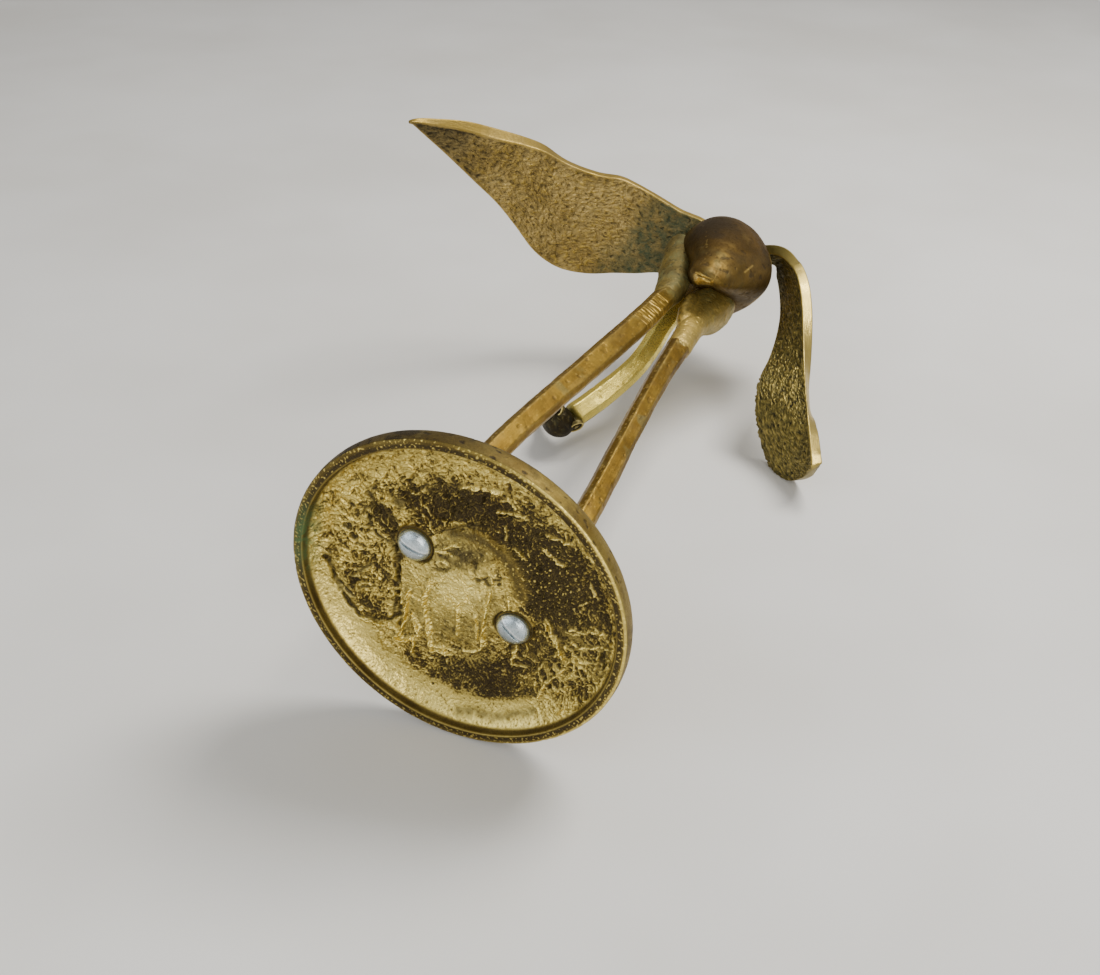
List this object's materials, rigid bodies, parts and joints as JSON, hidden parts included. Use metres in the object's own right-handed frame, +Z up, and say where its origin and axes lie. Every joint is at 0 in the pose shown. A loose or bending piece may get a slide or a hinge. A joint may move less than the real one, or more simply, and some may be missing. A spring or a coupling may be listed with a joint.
{
  "type": "cast brass wading bird figure",
  "caption": "Cast brass long-legged bird with open wings and bent neck, standing on a round hollow dished base held by slotted screws.",
  "frame": {"origin": "centre of the base's foot ring, on the plane it stands on", "axes": "+Z up, +Y the way the bird faces, +X the bird's right-hand side"},
  "size_m": [0.2033, 0.1194, 0.2755],
  "materials": {
    "base_brass": "rough sand-cast bowl, polished wall, dark foot ring",
    "screw_zinc": "bright zinc plated, slotted pan head",
    "leg_brass": "hand-filed, satin, golden brown",
    "patina_brass": "satin with green-grey patina",
    "body_brass": "smooth, warm brown patina, file marks at the tail",
    "neck_brass": "pale worn brass with a filed ridge",
    "head_brass": "dark olive patina",
    "wing_brass": "rough cast underside, polished bright edge"
  },
  "bodies": {
    "root": {"base_dish": "base_brass", "leg_screws": "screw_zinc", "left_leg": "leg_brass", "right_leg": "leg_brass", "left_thigh": "patina_brass", "right_thigh": "patina_brass", "leg_braze_seams": "patina_brass", "body": "body_brass", "neck": "neck_brass", "head_and_bill": "head_brass", "left_wing": "wing_brass", "right_wing": "wing_brass"}
  },
  "joints": []
}
